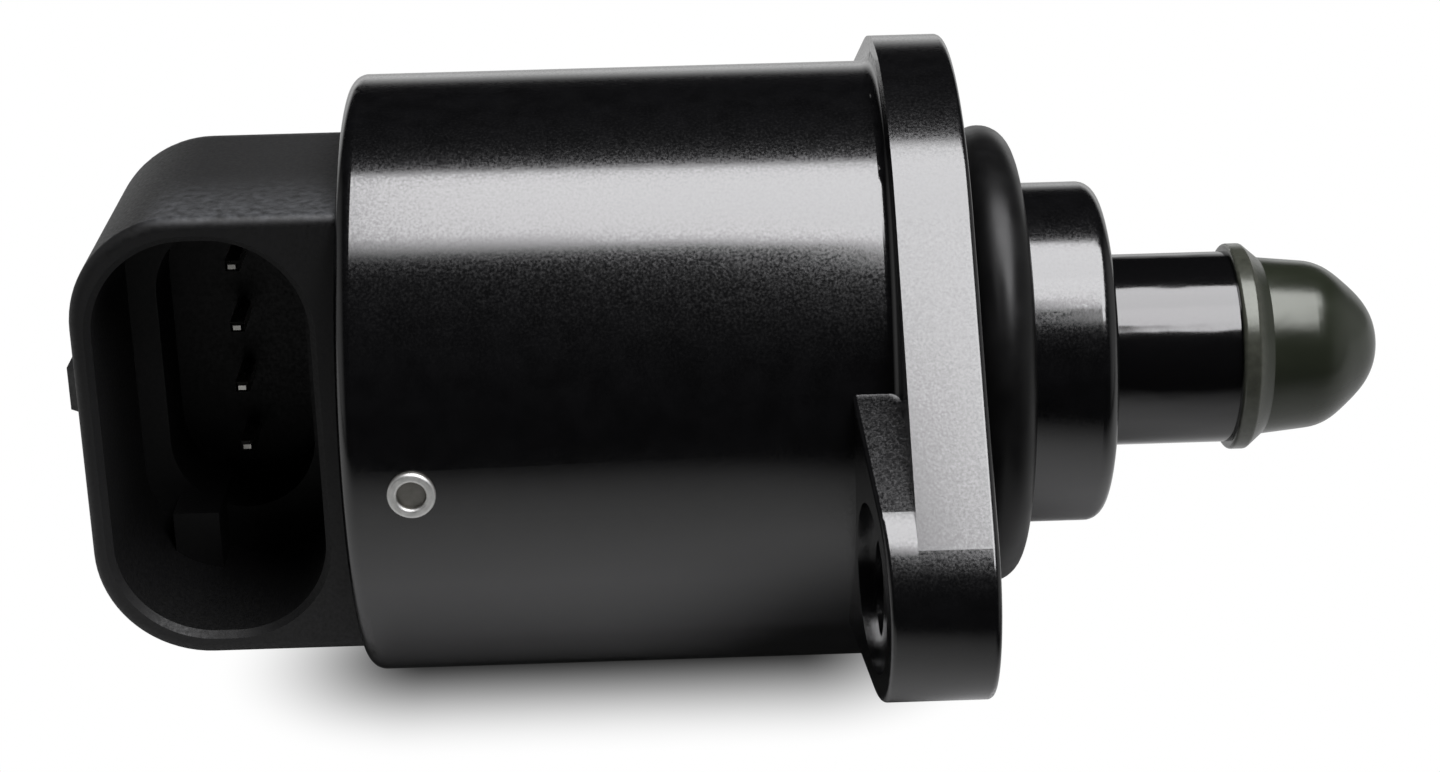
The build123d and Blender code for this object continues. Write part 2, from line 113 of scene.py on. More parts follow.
# Lamps and room: the lamps' colour, the end walls' brightness, and the values of a direction's X, Y and Z
# between which the end walls come in, the backdrop comes in, and its top fades out downwards
LAMP_COLOUR = (0.985, 0.98, 1.0)
WALL_SHARE = 0.4
WALL_RANGE = (0.70, 0.95)
BACKDROP_RANGE = (0.55, 0.90)
BACKDROP_TOP = (0.30, 0.10)

# Floor: its half width and its back edge, its grey in the shadow, its white in a gloss and where that
# starts to fade, and the shadow's ends inside the body and its reach
FLOOR_HALF_WIDTH = 2
FLOOR_BACK = 4
FLOOR_GREY = 0.5
FLOOR_GLOSS = 0.62
FADE_START = 0.2
SHADOW_INSET = 0.003
SHADOW_FRONT = 0.010
SHADOW_REACH = 0.0145
GLOSS_SHADOW_REACH = 0.045

# Camera: the width of its sensor in millimetres, and the nearest thing that it sees
SENSOR_WIDTH = 36
NEAR_LIMIT = 0.005


class ValveFinishSettings(bpy.types.PropertyGroup):
    """Colours of the pieces that show, and the grain of the coated casting."""

    coat_colour: bpy.props.FloatVectorProperty(
        name="Coat", description="Coating on the cast body",
        default=(0.0032, 0.0032, 0.0035), size=3, min=0, max=1, subtype="COLOR",
    )
    coat_roughness: bpy.props.FloatProperty(
        name="Coat roughness", description="How far the coating spreads its highlights",
        default=0.15, min=0.05, max=0.9, subtype="FACTOR",
    )
    rim_roughness: bpy.props.FloatProperty(
        name="Rim roughness", description="Roughness of the coating on the flange's rim",
        default=0.17, min=0.05, max=0.9, subtype="FACTOR",
    )
    coat_grain: bpy.props.FloatProperty(
        name="Coat grain", description="Size of the coating's fine grain",
        default=0.00016, min=0.00002, max=0.002, unit="LENGTH", precision=5,
    )
    connector_colour: bpy.props.FloatVectorProperty(
        name="Connector", description="Moulded plastic of the connector",
        default=(0.0036, 0.0036, 0.0038), size=3, min=0, max=1, subtype="COLOR",
    )
    # Painted sheen: a lighter, speckled colour on top of the connector towards its mouth
    sheen_colour: bpy.props.FloatVectorProperty(
        name="Scuffs", description="Scuffed plastic on top of the connector's mouth",
        default=(0.056, 0.058, 0.062), size=3, min=0, max=1, subtype="COLOR",
    )
    stem_colour: bpy.props.FloatVectorProperty(
        name="Stem", description="Gloss plastic of the stem",
        default=(0.0028, 0.0028, 0.0030), size=3, min=0, max=1, subtype="COLOR",
    )
    cone_colour: bpy.props.FloatVectorProperty(
        name="Cone", description="Olive plastic of the cone",
        default=(0.0140, 0.0166, 0.0108), size=3, min=0, max=1, subtype="COLOR",
    )
    # Painted highlight: a lighter olive round the outer rim of the cone's collar
    collar_highlight_colour: bpy.props.FloatVectorProperty(
        name="Collar", description="Dry olive plastic on the worn rim of the cone's collar",
        default=(0.0400, 0.0420, 0.0335), size=3, min=0, max=1, subtype="COLOR",
    )
    rubber_colour: bpy.props.FloatVectorProperty(
        name="Rubber", description="Rubber of the sealing rings",
        default=(0.0036, 0.0036, 0.0037), size=3, min=0, max=1, subtype="COLOR",
    )


class ValvePieceSettings(bpy.types.PropertyGroup):
    """Sizes of the wound coils and of the screw's thread."""

    wire_diameter: bpy.props.FloatProperty(
        name="Wire", description="Diameter of the coils' enamelled wire",
        default=0.00034, min=0.0001, max=0.001, unit="LENGTH", precision=5,
    )
    thread_pitch: bpy.props.FloatProperty(
        name="Thread pitch", description="Travel of the screw for one turn of the rotor",
        default=0.001, min=0.0003, max=0.003, unit="LENGTH", precision=5,
    )
    thread_depth: bpy.props.FloatProperty(
        name="Thread depth", description="Height of the thread over the screw's core",
        default=0.00045, min=0.0001, max=0.001, unit="LENGTH", precision=5,
    )
    thread_end: bpy.props.FloatProperty(
        name="Thread end", description="Where the thread stops behind the screw's flats",
        default=-0.0093, unit="LENGTH", precision=5,
    )
    flat_front: bpy.props.FloatProperty(
        name="Front of the flats", description="Where the screw's two flats stop in front",
        default=0.0009, unit="LENGTH", precision=5,
    )
    flat_height: bpy.props.FloatProperty(
        name="Flats", description="Half the distance between the screw's two flats",
        default=0.0019, min=0.0005, max=0.01, unit="LENGTH", precision=5,
    )
    end_chamfer: bpy.props.FloatProperty(
        name="Screw end", description="Chamfer on the screw's ends",
        default=0.0004, min=0.0, max=0.002, unit="LENGTH", precision=5,
    )


class ValveStageSettings(bpy.types.PropertyGroup):
    """Camera, softboxes and floor."""

    camera_place: bpy.props.FloatVectorProperty(
        name="Camera", description="Where the camera stands",
        default=(-0.01914, -0.17099, 0.06578), size=3, subtype="TRANSLATION",
    )
    camera_aim: bpy.props.FloatVectorProperty(
        name="Aim", description="Point in the middle of the picture",
        default=(-0.01474, 0.0, -0.00173), size=3, subtype="TRANSLATION",
    )
    camera_roll: bpy.props.FloatProperty(
        name="Roll", description="Turn of the camera about its own line of sight",
        default=math.radians(-1.187), subtype="ANGLE",
    )
    lens: bpy.props.FloatProperty(
        name="Lens", description="Focal length on a sensor 36 mm wide",
        default=70.0, min=10, max=300, subtype="DISTANCE_CAMERA",
    )
    key_radiance: bpy.props.FloatProperty(
        name="Softbox", description="Brightness of the softbox over the valve",
        default=9.0, min=0, max=40,
    )
    key_place: bpy.props.FloatVectorProperty(
        name="Softbox place", description="Middle of the softbox",
        default=(0.0625, -0.0370, 0.300), size=3, subtype="TRANSLATION",
    )
    key_size: bpy.props.FloatVectorProperty(
        name="Softbox size", description="Length along the valve, and width across it",
        default=(0.275, 0.154), size=2, min=0.01, max=2, unit="LENGTH",
    )
    ambient: bpy.props.FloatProperty(
        name="Room light", description="Even light from all round",
        default=0.12, min=0, max=1,
    )
    side_radiance: bpy.props.FloatProperty(
        name="Side softbox",
        description="Brightness of the stepped softbox in front of the flange and nose",
        default=9.6, min=0, max=40,
    )
    side_strips: bpy.props.FloatVectorProperty(
        name="Side strips", description="Width of each strip of the side softbox, from the back",
        default=(0.018, 0.015, 0.014, 0.024, 0.030, 0.050, 0.095),
        size=7, min=0.005, max=1, unit="LENGTH",
    )
    side_starts: bpy.props.FloatVectorProperty(
        name="Side strip starts", description="Where each strip starts along the valve",
        default=(-0.030, -0.003, 0.015, 0.023, 0.030, 0.057, 0.085), size=7, unit="LENGTH",
    )
    edge_shares: bpy.props.FloatVectorProperty(
        name="Soft edge",
        description="Share of the softbox's brightness left in the strips over the body",
        default=(0.60, 0.34, 0.06), size=3, min=0, max=1,
    )
    floor_front: bpy.props.FloatProperty(
        name="Floor in front", description="How far the floor runs out in front of the body",
        default=0.110, min=0.02, max=2, unit="LENGTH",
    )
    floor_nose_front: bpy.props.FloatProperty(
        name="Floor by the nose", description="How far the floor runs out in front of the nose",
        default=0.045, min=0.01, max=2, unit="LENGTH",
    )


def piece_settings():
    """Sizes that the operators read."""
    return bpy.context.scene.valve_pieces


def finish_settings():
    """Colours that the operators read."""
    return bpy.context.scene.valve_finish


# Materials

def new_finish(name, colour, roughness, **sockets):
    """A new material with the shader's plain values set, and Object coordinates ready to use."""
    material = bpy.data.materials.new(name)
    material.use_nodes = True
    tree = material.node_tree
    shader = tree.nodes["Principled BSDF"]
    shader.inputs["Base Color"].default_value = (*colour, 1.0)
    shader.inputs["Roughness"].default_value = roughness
    for label, value in sockets.items():
        shader.inputs[label.replace("_", " ")].default_value = value
    place = tree.nodes.new("ShaderNodeTexCoord")
    return material, tree, shader, place.outputs["Object"]


def noise(tree, place, feature, detail=2.0, stretch=(1.0, 1.0, 1.0)):
    """Noise with features of about the given size, drawn out along an axis by a stretch over 1."""
    mapping = tree.nodes.new("ShaderNodeMapping")
    mapping.inputs["Scale"].default_value = [1.0 / value for value in stretch]
    tree.links.new(place, mapping.inputs["Vector"])
    texture = tree.nodes.new("ShaderNodeTexNoise")
    texture.inputs["Scale"].default_value = 1.0 / feature
    texture.inputs["Detail"].default_value = detail
    tree.links.new(mapping.outputs["Vector"], texture.inputs["Vector"])
    return texture.outputs["Fac"]


def spread(tree, value, low, high, from_low=NOISE_LOW, from_high=NOISE_HIGH):
    """Map the middle of a noise's range, or another range of a value, to the one given."""
    node = tree.nodes.new("ShaderNodeMapRange")
    node.inputs["From Min"].default_value = from_low
    node.inputs["From Max"].default_value = from_high
    node.inputs["To Min"].default_value = low
    node.inputs["To Max"].default_value = high
    tree.links.new(value, node.inputs["Value"])
    return node.outputs["Result"]


def tint(tree, value, dark, light):
    """Run a noise value between two colours."""
    ramp = tree.nodes.new("ShaderNodeValToRGB")
    ramp.color_ramp.elements[0].position = NOISE_LOW
    ramp.color_ramp.elements[0].color = (*dark, 1.0)
    ramp.color_ramp.elements[1].position = NOISE_HIGH
    ramp.color_ramp.elements[1].color = (*light, 1.0)
    tree.links.new(value, ramp.inputs["Fac"])
    return ramp.outputs["Color"]


def shade(tree, value, colour, darker, lighter=1.0):
    """Run a noise value between two shades of one colour, each given as a factor."""
    dark = [channel * darker for channel in colour]
    light = [channel * lighter for channel in colour]
    return tint(tree, value, dark, light)


def paint(tree, shader, colour, roughness):
    """Take a shader's colour and roughness from nodes."""
    tree.links.new(colour, shader.inputs["Base Color"])
    tree.links.new(roughness, shader.inputs["Roughness"])


def relief(tree, shader, heights):
    """Stack bumps on a shader; each is (value, strength, depth in metres)."""
    normal = None
    for value, strength, depth in heights:
        bump = tree.nodes.new("ShaderNodeBump")
        bump.inputs["Strength"].default_value = strength
        bump.inputs["Distance"].default_value = depth
        tree.links.new(value, bump.inputs["Height"])
        if normal is not None:
            tree.links.new(normal, bump.inputs["Normal"])
        normal = bump.outputs["Normal"]
    tree.links.new(normal, shader.inputs["Normal"])


def math_node(tree, operation, first, second=0.0):
    """One step of arithmetic on sockets or plain numbers."""
    node = tree.nodes.new("ShaderNodeMath")
    node.operation = operation
    for socket, value in zip(node.inputs, (first, second)):
        if isinstance(value, bpy.types.NodeSocket):
            tree.links.new(value, socket)
        else:
            socket.default_value = value
    return node.outputs[0]


def ease(tree, value, low, high):
    """Rise smoothly from 0 to 1 between two values."""
    node = tree.nodes.new("ShaderNodeMapRange")
    node.interpolation_type = "SMOOTHSTEP"
    node.inputs["From Min"].default_value = low
    node.inputs["From Max"].default_value = high
    tree.links.new(value, node.inputs["Value"])
    return node.outputs["Result"]


def blend(tree, share, under, over):
    """One colour over another, by a share from 0 to 1.

    A Mix node has sockets of one name for each type of value, so those for colours are taken by number.
    """
    node = tree.nodes.new("ShaderNodeMix")
    node.data_type = "RGBA"
    tree.links.new(share, node.inputs["Factor"])
    tree.links.new(under, node.inputs[6])
    tree.links.new(over, node.inputs[7])
    return node.outputs[2]


def body_radius():
    """Radius of the body's barrel, at its rear end."""
    points = [point.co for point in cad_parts["body_housing"].data.vertices]
    rear = min(point.x for point in points)
    return max(math.hypot(point.y, point.z) for point in points if point.x < rear + BARREL_END)


def radii(node):
    """Smallest and largest distance of a node's surface from the valve's axis."""
    distances = [math.hypot(point.co.y, point.co.z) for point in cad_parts[node].data.vertices]
    return min(distances), max(distances)


def off_axis(tree, place):
    """Distance from the valve's axis, in a material."""
    across = tree.nodes.new("ShaderNodeVectorMath")
    across.operation = "MULTIPLY"
    across.inputs[1].default_value = (0.0, 1.0, 1.0)
    tree.links.new(place, across.inputs[0])
    length = tree.nodes.new("ShaderNodeVectorMath")
    length.operation = "LENGTH"
    tree.links.new(across.outputs["Vector"], length.inputs[0])
    return length.outputs["Value"]


def body_coat():
    """Satin black coating with a fine grain and a faint peel, a little rougher on the flange's rim."""
    look = finish_settings()
    material, tree, shader, place = new_finish(
        "body_coat", look.coat_colour, look.coat_roughness, Specular_IOR_Level=0.85,
    )
    grain = noise(tree, place, look.coat_grain, detail=3.0)
    peel = noise(tree, place, look.coat_grain * PEEL_FACTOR, detail=1.0)
    base = look.coat_roughness
    smooth = spread(tree, grain, base - GRAIN_SMOOTHER, base + GRAIN_ROUGHER)
    barrel = body_radius()
    rim = ease(tree, off_axis(tree, place), barrel + RIM_BEGIN, barrel + RIM_FULL)
    extra = math_node(tree, "MULTIPLY", rim, look.rim_roughness - base)
    roughness = math_node(tree, "ADD", smooth, extra)
    paint(tree, shader, shade(tree, peel, look.coat_colour, darker=0.8, lighter=1.2), roughness)
    relief(tree, shader, [(peel, 0.06, 0.00002), (grain, 0.09, 0.000012)])
    return material


def mouth_edge():
    """Where the connector's block ends in front, and its top."""
    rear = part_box("body_housing")[0][0]
    points = [point.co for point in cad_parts["connector_housing"].data.vertices]
    block = [point for point in points if point.x < rear]
    return min(point.y for point in block), max(point.z for point in block)


def connector_plastic():
    """Matte moulded plastic with a spark-eroded texture, and a speckled painted sheen on top towards the
    mouth.
    """
    look = finish_settings()
    material, tree, shader, place = new_finish(
        "connector_plastic", look.connector_colour, roughness=0.55, Specular_IOR_Level=0.45,
    )
    texture = noise(tree, place, feature=0.00022, detail=4.0)
    flow = noise(tree, place, feature=0.006, stretch=(1.0, 3.0, 1.0))
    specks = noise(tree, place, feature=0.0006, detail=4.0)
    plain_plastic = shade(tree, flow, look.connector_colour, darker=0.8, lighter=1.2)
    # Painted sheen: a lighter speckled colour on the block's top face, fading back from the mouth
    highlit = shade(tree, specks, look.sheen_colour, darker=0.2)
    front, top = mouth_edge()
    parts = tree.nodes.new("ShaderNodeSeparateXYZ")
    tree.links.new(place, parts.inputs["Vector"])
    back = ease(tree, parts.outputs["Y"], front, front + SHEEN_REACH)
    upper = ease(tree, parts.outputs["Z"], top - SHEEN_DROP, top)
    sheen_mask = math_node(tree, "MULTIPLY", math_node(tree, "SUBTRACT", 1.0, back), upper)
    paint(tree, shader, blend(tree, sheen_mask, plain_plastic, highlit), spread(tree, texture, low=0.46, high=0.64))
    relief(tree, shader, [(texture, 0.25, 0.00002)])
    return material


def stem_plastic():
    """Gloss plastic, a little wavy along the stem."""
    look = finish_settings()
    material, tree, shader, place = new_finish(
        "stem_plastic", look.stem_colour, roughness=0.10, Specular_IOR_Level=0.66,
    )
    wave = noise(tree, place, feature=0.0014, detail=1.0, stretch=(2.5, 1.0, 1.0))
    scuff = noise(tree, place, feature=0.0002, detail=3.0, stretch=(0.3, 1.0, 1.0))
    colour = shade(tree, scuff, look.stem_colour, darker=0.85, lighter=1.15)
    paint(tree, shader, colour, spread(tree, scuff, low=0.08, high=0.14))
    relief(tree, shader, [(wave, 0.6, 0.00005), (scuff, 0.05, 0.00001)])
    return material


def cone_plastic():
    """Semi-gloss olive plastic with faint flow marks, and a lighter olive painted as a highlight round
    the collar's rim.
    """
    look = finish_settings()
    material, tree, shader, place = new_finish(
        "cone_plastic", look.cone_colour, roughness=0.24, Specular_IOR_Level=0.55,
        Specular_Tint=(*CONE_SHEEN, 1.0),
    )
    flow = noise(tree, place, feature=0.003, detail=3.0, stretch=(2.0, 1.0, 1.0))
    texture = noise(tree, place, feature=0.00018, detail=3.0)
    specks = noise(tree, place, feature=0.0005, detail=4.0)
    olive = shade(tree, flow, look.cone_colour, darker=0.85, lighter=1.12)
    # Painted highlight: a lighter olive round the collar's outermost rim
    rim_highlight = shade(tree, specks, look.collar_highlight_colour, darker=0.75, lighter=1.1)
    edge = radii("pintle_cone")[1]
    rim = ease(tree, off_axis(tree, place), edge - COLLAR_HIGHLIGHT_WIDTH, edge)
    paint(tree, shader, blend(tree, rim, olive, rim_highlight), spread(tree, flow, low=0.19, high=0.29))
    relief(tree, shader, [(texture, 0.06, 0.00001), (flow, 0.5, 0.0001)])
    return material


def seal_rubber():
    """Satin rubber with a faint bloom."""
    look = finish_settings()
    material, tree, shader, place = new_finish(
        "seal_rubber", look.rubber_colour, roughness=0.35, Specular_IOR_Level=0.22,
    )
    bloom = noise(tree, place, feature=0.002, detail=4.0)
    texture = noise(tree, place, feature=0.00025)
    colour = shade(tree, bloom, look.rubber_colour, darker=0.8, lighter=1.4)
    paint(tree, shader, colour, spread(tree, bloom, low=0.30, high=0.40))
    relief(tree, shader, [(texture, 0.12, 0.00002)])
    return material


def metal(name, colour, roughness, mark, stretch=(1, 1, 1)):
    """Bare metal with tool or rolling marks, which a stretch draws out along an axis."""
    material, tree, shader, place = new_finish(name, colour, roughness, Metallic=1.0)
    marks = noise(tree, place, mark, detail=4.0, stretch=stretch)
    worked = spread(tree, marks, low=roughness * 0.8, high=roughness * 1.25)
    paint(tree, shader, shade(tree, marks, colour, darker=0.82), worked)
    relief(tree, shader, [(marks, 0.2, MARK_DEPTH)])
    return material


def pin_steel():
    """Bright drawn steel, with painted shade down in the hollow of each pin's end."""
    material, tree, shader, place = new_finish("pin_steel", PIN_BRIGHT, roughness=0.55, Metallic=1.0)
    marks = noise(tree, place, feature=0.0003, detail=4.0)
    polished = shade(tree, marks, PIN_BRIGHT, darker=0.82)
    # Painted shade: a darker colour down in the hollow of each pin's end
    hollow_shade = tint(tree, marks, PIN_HOLLOW_SHADE, PIN_HOLLOW_SHADE_LIGHT)
    end = radii("retaining_pins")[1]
    face = ease(tree, off_axis(tree, place), end - PIN_HOLLOW_DEPTH, end - PIN_RIM_DEPTH)
    paint(tree, shader, blend(tree, face, hollow_shade, polished), spread(tree, marks, low=0.48, high=0.62))
    relief(tree, shader, [(marks, 0.2, MARK_DEPTH)])
    return material


def moulded(name, colour, roughness):
    """Plain moulded or sintered material with a fine texture."""
    material, tree, shader, place = new_finish(name, colour, roughness)
    texture = noise(tree, place, feature=0.0003, detail=4.0)
    fine = spread(tree, texture, low=roughness * 0.85, high=roughness * 1.15)
    paint(tree, shader, shade(tree, texture, colour, darker=0.85, lighter=1.1), fine)
    relief(tree, shader, [(texture, 0.15, 0.00002)])
    return material


def dress(material, *nodes):
    """Give CAD nodes a finish."""
    for name in nodes:
        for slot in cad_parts[name].material_slots:
            slot.material = material


# Meshes

def new_piece(name, mesh, material=None):
    """Link a mesh into the scene as a piece at the origin."""
    piece = bpy.data.objects.new(name, mesh)
    bpy.context.scene.collection.objects.link(piece)
    if material is not None:
        mesh.materials.append(material)
    return piece


def turned_mesh(name, profile, steps, closed=False):
    """Turn a profile about X.

    Its points are (along, radius) or, with flats, (along, radius, half height). A radius of 0 closes the
    end to a point.
    """
    form = bmesh.new()
    rings = []
    for along, radius, *flat in profile:
        if radius == 0:
            rings.append([form.verts.new((along, 0, 0))])
            continue
        half_height = min([radius, *flat])
        ring = []
        for step in range(steps):
            angle = 2 * math.pi * step / steps
            height = max(-half_height, min(half_height, radius * math.sin(angle)))
            ring.append(form.verts.new((along, radius * math.cos(angle), height)))
        rings.append(ring)
    pairs = list(zip(rings, rings[1:]))
    if closed:
        pairs.append((rings[-1], rings[0]))
    for first, second in pairs:
        for step in range(steps):
            after = (step + 1) % steps
            corners = [first[step % len(first)], first[after % len(first)]]
            corners += [second[after % len(second)], second[step % len(second)]]
            form.faces.new(list(dict.fromkeys(corners)))
    bmesh.ops.recalc_face_normals(form, faces=form.faces)
    for face in form.faces:
        face.smooth = True
    for edge in form.edges:
        edge.smooth = edge.calc_face_angle(0) < SHARP_ANGLE
    mesh = bpy.data.meshes.new(name)
    form.to_mesh(mesh)
    form.free()
    return mesh


def geometry_tree(name, inputs):
    """A Geometry Nodes tree with named inputs, each (label, socket type, default)."""
    tree = bpy.data.node_groups.new(name, "GeometryNodeTree")
    tree.interface.new_socket("Geometry", in_out="OUTPUT", socket_type="NodeSocketGeometry")
    for label, kind, value in inputs:
        socket = tree.interface.new_socket(label, in_out="INPUT", socket_type=kind)
        if value is not None:
            socket.default_value = value
    return tree, tree.nodes.new("NodeGroupInput"), tree.nodes.new("NodeGroupOutput")


def end_tree(tree, source, output, geometry):
    """Realize what a tree has placed, give it the material input, and send it out."""
    realize = tree.nodes.new("GeometryNodeRealizeInstances")
    finish = tree.nodes.new("GeometryNodeSetMaterial")
    tree.links.new(geometry, realize.inputs["Geometry"])
    tree.links.new(realize.outputs["Geometry"], finish.inputs["Geometry"])
    tree.links.new(source.outputs["Material"], finish.inputs["Material"])
    tree.links.new(finish.outputs["Geometry"], output.inputs["Geometry"])


def plain_piece(name, mesh, tree, values):
    """Run a tree once on a mesh and keep its result as a plain mesh."""
    piece = new_piece(name, mesh)
    modifier = piece.modifiers.new(tree.name, "NODES")
    modifier.node_group = tree
    for socket in tree.interface.items_tree:
        if socket.in_out == "INPUT" and socket.name in values:
            modifier[socket.identifier] = values[socket.name]
    bpy.context.view_layer.update()
    evaluated = piece.evaluated_get(bpy.context.evaluated_depsgraph_get())
    result = bpy.data.meshes.new_from_object(evaluated)
    piece.modifiers.remove(modifier)
    piece.data = result
    result.name = name
    return piece


def helix_tree():
    """Wire, or a rounded rib, wound along X over the mesh that carries it."""
    tree, source, output = geometry_tree("helix", [
        ("Core", "NodeSocketGeometry", None),
        ("Turns", "NodeSocketFloat", 10.0),
        ("Helix radius", "NodeSocketFloat", 0.010),
        ("Start", "NodeSocketFloat", 0.0),
        ("Length", "NodeSocketFloat", 0.010),
        ("Wire radius", "NodeSocketFloat", 0.0002),
        ("Material", "NodeSocketMaterial", None),
    ])
    helix = tree.nodes.new("GeometryNodeCurveSpiral")
    helix.inputs["Resolution"].default_value = HELIX_STEPS
    tree.links.new(source.outputs["Turns"], helix.inputs["Rotations"])
    tree.links.new(source.outputs["Helix radius"], helix.inputs["Start Radius"])
    tree.links.new(source.outputs["Helix radius"], helix.inputs["End Radius"])
    tree.links.new(source.outputs["Length"], helix.inputs["Height"])
    section = tree.nodes.new("GeometryNodeCurvePrimitiveCircle")
    section.inputs["Resolution"].default_value = WIRE_STEPS
    tree.links.new(source.outputs["Wire radius"], section.inputs["Radius"])
    sweep = tree.nodes.new("GeometryNodeCurveToMesh")
    sweep.inputs["Fill Caps"].default_value = True
    tree.links.new(helix.outputs["Curve"], sweep.inputs["Curve"])
    tree.links.new(section.outputs["Curve"], sweep.inputs["Profile Curve"])
    smooth = tree.nodes.new("GeometryNodeSetShadeSmooth")
    tree.links.new(sweep.outputs["Mesh"], smooth.inputs[0])
    place = tree.nodes.new("ShaderNodeCombineXYZ")
    tree.links.new(source.outputs["Start"], place.inputs["X"])
    lay = tree.nodes.new("GeometryNodeTransform")
    lay.inputs["Rotation"].default_value = (0, math.pi / 2, 0)
    tree.links.new(smooth.outputs[0], lay.inputs["Geometry"])
    tree.links.new(place.outputs["Vector"], lay.inputs["Translation"])
    join = tree.nodes.new("GeometryNodeJoinGeometry")
    tree.links.new(source.outputs["Core"], join.inputs["Geometry"])
    tree.links.new(lay.outputs["Geometry"], join.inputs["Geometry"])
    end_tree(tree, source, output, join.outputs["Geometry"])
    return tree


def wound_coil(name, node, tree, material):
    """A coil whose outer layer is laid wire, in place of a plain ring."""
    wire = piece_settings().wire_diameter
    low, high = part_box(node)
    inner, outer = radii(node)
    core_radius = outer - wire
    core = turned_mesh(name, [
        (low[0], inner), (low[0], core_radius), (high[0], core_radius), (high[0], inner),
    ], COIL_STEPS, closed=True)
    length = high[0] - low[0] - wire
    piece = plain_piece(name, core, tree, {
        "Turns": length / wire,
        "Helix radius": outer - wire / 2,
        "Start": low[0] + wire / 2,
        "Length": length,
        "Wire radius": wire / 2,
        "Material": material,
    })
    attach(piece, "valve_body")
    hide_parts(node)


def threaded_screw(tree, material):
    """The lead screw with its thread, and the two flats that keep it from turning."""
    sizes = piece_settings()
    low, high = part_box("lead_screw")
    radius = high[2]
    core_radius = radius - sizes.thread_depth
    bevel = sizes.end_chamfer
    core = turned_mesh("threaded_screw", [
        (low[0], 0),
        (low[0], core_radius - bevel),
        (low[0] + bevel, core_radius),
        (sizes.thread_end, core_radius),
        (sizes.thread_end + bevel, radius, sizes.flat_height),
        (sizes.flat_front, radius, sizes.flat_height),
        (sizes.flat_front, radius),
        (high[0] - bevel, radius),
        (high[0], radius - bevel),
        (high[0], 0),
    ], SCREW_STEPS)
    rib = sizes.thread_pitch * RIB_SHARE
    start = low[0] + bevel + rib
    length = sizes.thread_end - rib - start
    piece = plain_piece("threaded_screw", core, tree, {
        "Turns": length / sizes.thread_pitch,
        "Helix radius": radius - rib,
        "Start": start,
        "Length": length,
        "Wire radius": rib,
        "Material": material,
    })
    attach(piece, "pintle")
    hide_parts("lead_screw")


# Operators

class VALVE_OT_cast_body(bpy.types.Operator):
    """Coat the cast body, its flange and its nose"""

    bl_idname = "valve.cast_body"
    bl_label = "Cast body"

    def execute(self, context):
        dress(body_coat(), "body_housing")
        return {"FINISHED"}


class VALVE_OT_connector(bpy.types.Operator):
    """Give the connector housing its moulded plastic"""

    bl_idname = "valve.connector"
    bl_label = "Connector"

    def execute(self, context):
        dress(connector_plastic(), "connector_housing")
        return {"FINISHED"}


class VALVE_OT_pintle(bpy.types.Operator):
    """Finish the gloss stem and the olive cone"""

    bl_idname = "valve.pintle"
    bl_label = "Pintle"

    def execute(self, context):
        dress(stem_plastic(), "pintle_stem")
        dress(cone_plastic(), "pintle_cone")
        return {"FINISHED"}


class VALVE_OT_seals(bpy.types.Operator):
    """Give the sealing rings their rubber"""

    bl_idname = "valve.seals"
    bl_label = "Seals"

    def execute(self, context):
        dress(seal_rubber(), "nose_seal", "cap_seal")
        return {"FINISHED"}


class VALVE_OT_metalwork(bpy.types.Operator):
    """Finish the retaining pins and terminals"""

    bl_idname = "valve.metalwork"
    bl_label = "Pins and terminals"

    def execute(self, context):
        tin = metal("terminal_tin", (0.66, 0.65, 0.61), roughness=0.3, mark=0.0004, stretch=(1, 4, 1))
        dress(pin_steel(), "retaining_pins")
        dress(tin, *TERMINAL_NODES)
        return {"FINISHED"}


class VALVE_OT_motor(bpy.types.Operator):
    """Finish the pieces inside the body"""

    bl_idname = "valve.motor"
    bl_label = "Motor"

    def execute(self, context):
        iron = metal("pole_iron", (0.48, 0.49, 0.50), roughness=0.34, mark=0.0006, stretch=(1, 3, 1))
        steel = metal("bearing_steel", (0.70, 0.70, 0.71), roughness=0.14, mark=0.0004, stretch=(1, 4, 4))
        bronze = metal("bush_bronze", (0.55, 0.37, 0.16), roughness=0.42, mark=0.0002)
        bobbin = moulded("bobbin_plastic", (0.55, 0.52, 0.44), roughness=0.5)
        ferrite = moulded("magnet_ferrite", (0.06, 0.06, 0.065), roughness=0.6)
        plastic = moulded("nut_plastic", (0.62, 0.60, 0.55), roughness=0.4)
        dress(iron, "front_outer_pole", "front_inner_pole", "rear_inner_pole", "rear_outer_pole")
        dress(iron, "spring_washer", "anti_rotation_plate")
        dress(bobbin, "front_bobbin", "rear_bobbin")
        dress(steel, "bearing_outer_race", "bearing_inner_race", "bearing_balls")
        dress(bronze, "rear_bush", "bearing_cage")
        dress(ferrite, "rotor_magnet")
        dress(plastic, "rotor_nut")
        return {"FINISHED"}


class VALVE_OT_windings(bpy.types.Operator):
    """Wind the two coils, and cut the screw's thread"""

    bl_idname = "valve.windings"
    bl_label = "Coils and thread"

    def execute(self, context):
        tree = helix_tree()
        copper = metal("coil_copper", (0.60, 0.26, 0.12), roughness=0.3, mark=0.0003)
        steel = metal("screw_steel", (0.55, 0.55, 0.56), roughness=0.28, mark=0.0005, stretch=(4, 1, 1))
        wound_coil("front_winding", "front_coil", tree, copper)
        wound_coil("rear_winding", "rear_coil", tree, copper)
        threaded_screw(tree, steel)
        return {"FINISHED"}


# Stage

def softbox(name, place, size, radiance):
    """A rectangular area lamp overhead, facing straight down."""
    lamp = bpy.data.lights.new(name, "AREA")
    lamp.shape = "RECTANGLE"
    lamp.size, lamp.size_y = size
    lamp.energy = radiance * math.pi * size[0] * size[1]
    lamp.color = LAMP_COLOUR
    holder = bpy.data.objects.new(name, lamp)
    holder.location = place
    holder.visible_camera = False
    bpy.context.scene.collection.objects.link(holder)


def strip(name, start, end, edge, width, height, radiance):
    """A softbox between two places along the valve, with its back on the given edge."""
    softbox(name, ((start + end) / 2, edge - width / 2, height), (end - start, width), radiance)


